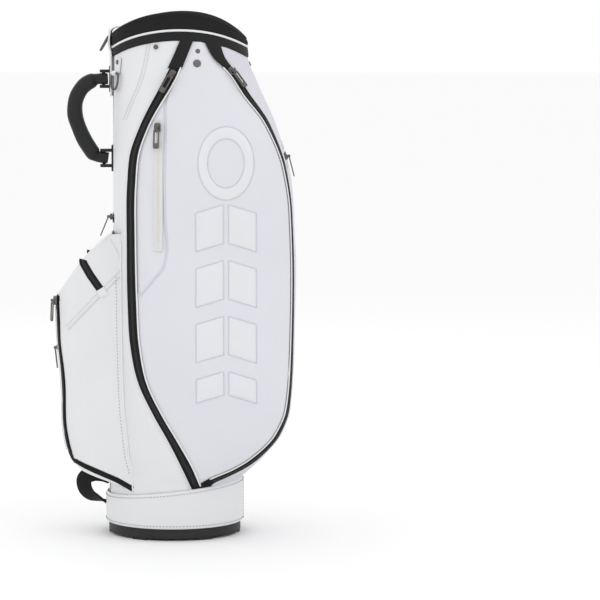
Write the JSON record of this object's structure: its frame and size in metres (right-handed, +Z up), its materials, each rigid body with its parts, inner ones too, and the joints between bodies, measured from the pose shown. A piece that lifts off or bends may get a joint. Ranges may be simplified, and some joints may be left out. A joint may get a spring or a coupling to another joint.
{
  "type": "golf staff bag",
  "caption": "Round standing golf staff bag with padded saddle collar, divided club top, side, front and ball pockets with running zips, grab handle, rings and a banded base.",
  "frame": {"origin": "on the floor under the middle of the base underside", "axes": "+Z up; the front panel faces -Y; the spine with the grab handle and the ball pocket faces +Y; +X is the right side of the bag looked at from its front"},
  "size_m": [0.293, 0.4088, 0.88],
  "materials": {
    "gunmetal": "satin",
    "lane_zip": "matte",
    "zip_tape": "matte",
    "black_plastic": "satin",
    "lug_rubber": "matte",
    "black_fabric": "matte",
    "handle_cover": "matte",
    "webbing": "matte",
    "lining": "matte",
    "pale_fabric": "matte",
    "white_leather": "satin"
  },
  "bodies": {
    "bag": {"back_quarter_left": "white_leather", "back_quarter_right": "white_leather", "back_zip_tape": "zip_tape", "ball_pocket": "white_leather", "ball_pocket_door": "white_leather", "ball_pocket_zips": "zip_tape", "base_band": "white_leather", "base_cup": "black_plastic", "base_lugs": "lug_rubber", "body_tube": "lining", "club_dividers": "lining", "collar_band": "black_fabric", "collar_pad": "black_fabric", "collar_piping": "white_leather", "divider_bars": "black_plastic", "fore_zip_tape_left": "zip_tape", "fore_zip_tape_right": "zip_tape", "front_panel": "pale_fabric", "front_zip_tape": "zip_tape", "handle_anchors": "black_plastic", "lane_zip_tape_left": "lane_zip", "lane_zip_tape_right": "lane_zip", "lower_loop": "webbing", "rear_zip_tape_left": "zip_tape", "rear_zip_tape_right": "zip_tape", "ring_tab_left": "white_leather", "ring_tab_right": "white_leather", "rivets": "gunmetal", "side_pocket_left": "white_leather", "side_pocket_right": "white_leather", "snaps": "gunmetal", "spine_panel": "white_leather", "spine_strip": "white_leather", "top_frame": "black_plastic", "top_ring_tab": "white_leather", "zip_garages": "black_fabric"},
    "rear_zip_slider_left": {"rear_zip_slider_left": "gunmetal"},
    "rear_zip_pull_left": {"rear_zip_pull_left": "gunmetal"},
    "rear_zip_slider_right": {"rear_zip_slider_right": "gunmetal"},
    "rear_zip_pull_right": {"rear_zip_pull_right": "gunmetal"},
    "fore_zip_slider_left": {"fore_zip_slider_left": "gunmetal"},
    "fore_zip_pull_left": {"fore_zip_pull_left": "gunmetal"},
    "fore_zip_slider_right": {"fore_zip_slider_right": "gunmetal"},
    "fore_zip_pull_right": {"fore_zip_pull_right": "gunmetal"},
    "lane_zip_slider_left": {"lane_zip_slider_left": "gunmetal"},
    "lane_zip_pull_left": {"lane_zip_pull_left": "gunmetal"},
    "lane_zip_slider_right": {"lane_zip_slider_right": "gunmetal"},
    "lane_zip_pull_right": {"lane_zip_pull_right": "gunmetal"},
    "front_zip_slider": {"front_zip_slider": "gunmetal"},
    "front_zip_pull": {"front_zip_pull": "gunmetal"},
    "back_zip_slider": {"back_zip_slider": "gunmetal"},
    "back_zip_pull": {"back_zip_pull": "gunmetal"},
    "door_zip_slider": {"door_zip_slider": "gunmetal"},
    "door_zip_pull": {"door_zip_pull": "gunmetal"},
    "accessory_zip_slider": {"accessory_zip_slider": "gunmetal"},
    "accessory_zip_pull": {"accessory_zip_pull": "gunmetal"},
    "d_ring_left": {"d_ring_left": "gunmetal"},
    "d_ring_right": {"d_ring_right": "gunmetal"},
    "top_ring": {"top_ring": "gunmetal"},
    "grab_handle": {"grab_handle": "handle_cover"}
  },
  "joints": [
    {"name": "rear_zip_run_left", "type": "hinge", "parent": "bag", "child": "rear_zip_slider_left", "pos_m": [0.18403, 0.03215, 0.74565], "axis": [0.0512, -0.8732, -0.4847], "range_deg": [0, 12.38]},
    {"name": "rear_zip_pull_swing_left", "type": "hinge", "parent": "rear_zip_slider_left", "child": "rear_zip_pull_left", "pos_m": [-0.12161, -0.00244, 0.77869], "axis": [-0.178, -0.8716, -0.4567], "range_deg": [-100, 0]},
    {"name": "rear_zip_run_right", "type": "hinge", "parent": "bag", "child": "rear_zip_slider_right", "pos_m": [-0.18403, 0.03215, 0.74565], "axis": [0.0512, 0.8732, 0.4847], "range_deg": [0, 12.38]},
    {"name": "rear_zip_pull_swing_right", "type": "hinge", "parent": "rear_zip_slider_right", "child": "rear_zip_pull_right", "pos_m": [0.12161, -0.00244, 0.77869], "axis": [-0.178, 0.8716, 0.4567], "range_deg": [-100, 0]},
    {"name": "fore_zip_run_left", "type": "hinge", "parent": "bag", "child": "fore_zip_slider_left", "pos_m": [0.74477, -0.31188, 0.78742], "axis": [-0.2016, -0.7789, 0.5939], "range_deg": [0, 5.04]},
    {"name": "fore_zip_pull_swing_left", "type": "hinge", "parent": "fore_zip_slider_left", "child": "fore_zip_pull_left", "pos_m": [-0.09752, -0.10387, 0.78475], "axis": [0.7244, -0.6099, 0.3214], "range_deg": [-100, 0]},
    {"name": "fore_zip_run_right", "type": "hinge", "parent": "bag", "child": "fore_zip_slider_right", "pos_m": [-0.74477, -0.31188, 0.78742], "axis": [-0.2016, 0.7789, -0.5939], "range_deg": [0, 5.04]},
    {"name": "fore_zip_pull_swing_right", "type": "hinge", "parent": "fore_zip_slider_right", "child": "fore_zip_pull_right", "pos_m": [0.09752, -0.10387, 0.78475], "axis": [0.7244, 0.6099, -0.3214], "range_deg": [-100, 0]},
    {"name": "lane_zip_run_left", "type": "hinge", "parent": "bag", "child": "lane_zip_slider_left", "pos_m": [1.57407, 0.01882, 0.48348], "axis": [-0.0009, -1, -0.0001], "range_deg": [0, 6.38]},
    {"name": "lane_zip_pull_swing_left", "type": "hinge", "parent": "lane_zip_slider_left", "child": "lane_zip_pull_left", "pos_m": [-0.13144, 0.02228, 0.69093], "axis": [-0.2703, -0.9628, 0], "range_deg": [-100, 0]},
    {"name": "lane_zip_run_right", "type": "hinge", "parent": "bag", "child": "lane_zip_slider_right", "pos_m": [-1.57407, 0.01882, 0.48348], "axis": [-0.0009, 1, 0.0001], "range_deg": [0, 6.38]},
    {"name": "lane_zip_pull_swing_right", "type": "hinge", "parent": "lane_zip_slider_right", "child": "lane_zip_pull_right", "pos_m": [0.13144, 0.02228, 0.69093], "axis": [-0.2703, 0.9628, 0], "range_deg": [-100, 0]},
    {"name": "front_zip_run", "type": "slide", "parent": "bag", "child": "front_zip_slider", "axis": [1, 0, 0], "range_m": [0, 0.134]},
    {"name": "front_zip_pull_swing", "type": "hinge", "parent": "front_zip_slider", "child": "front_zip_pull", "pos_m": [-0.06711, -0.19482, 0.64099], "axis": [0.9999, -0.0164, 0], "range_deg": [-100, 0]},
    {"name": "back_zip_run", "type": "hinge", "parent": "bag", "child": "back_zip_slider", "pos_m": [0, -0.20514, 0.53754], "axis": [0, 0, 1], "range_deg": [-5.96, 5.96]},
    {"name": "back_zip_pull_swing", "type": "hinge", "parent": "back_zip_slider", "child": "back_zip_pull", "pos_m": [-0.00003, 0.11015, 0.535], "axis": [-1, 0, 0], "range_deg": [-60, 0]},
    {"name": "door_zip_run", "type": "slide", "parent": "bag", "child": "door_zip_slider", "axis": [0, -0.0452, -0.999], "range_m": [0, 0.2]},
    {"name": "door_zip_pull_swing", "type": "hinge", "parent": "door_zip_slider", "child": "door_zip_pull", "pos_m": [-0.0759, 0.19952, 0.4004], "axis": [-0.9023, -0.4311, 0], "range_deg": [-100, 0]},
    {"name": "accessory_zip_run", "type": "slide", "parent": "bag", "child": "accessory_zip_slider", "axis": [1, 0, 0], "range_m": [0, 0.074]},
    {"name": "accessory_zip_pull_swing", "type": "hinge", "parent": "accessory_zip_slider", "child": "accessory_zip_pull", "pos_m": [-0.037, 0.19865, 0.31706], "axis": [-1, 0, 0], "range_deg": [-100, 0]},
    {"name": "d_ring_swing_left", "type": "hinge", "parent": "bag", "child": "d_ring_left", "pos_m": [-0.05667, 0.09425, 0.77745], "axis": [-0.8949, -0.4462, 0], "range_deg": [-80, 0]},
    {"name": "d_ring_swing_right", "type": "hinge", "parent": "bag", "child": "d_ring_right", "pos_m": [0.05667, 0.09425, 0.77745], "axis": [-0.8949, 0.4462, 0], "range_deg": [-80, 0]},
    {"name": "top_ring_swing", "type": "hinge", "parent": "bag", "child": "top_ring", "pos_m": [0, 0.1082, 0.838], "axis": [-1, 0, 0], "range_deg": [-40, 25]},
    {"name": "grab_handle_swing", "type": "hinge", "parent": "bag", "child": "grab_handle", "pos_m": [0, 0.117, 0.7], "axis": [0, 0, 1], "range_deg": [-35, 35]}
  ]
}
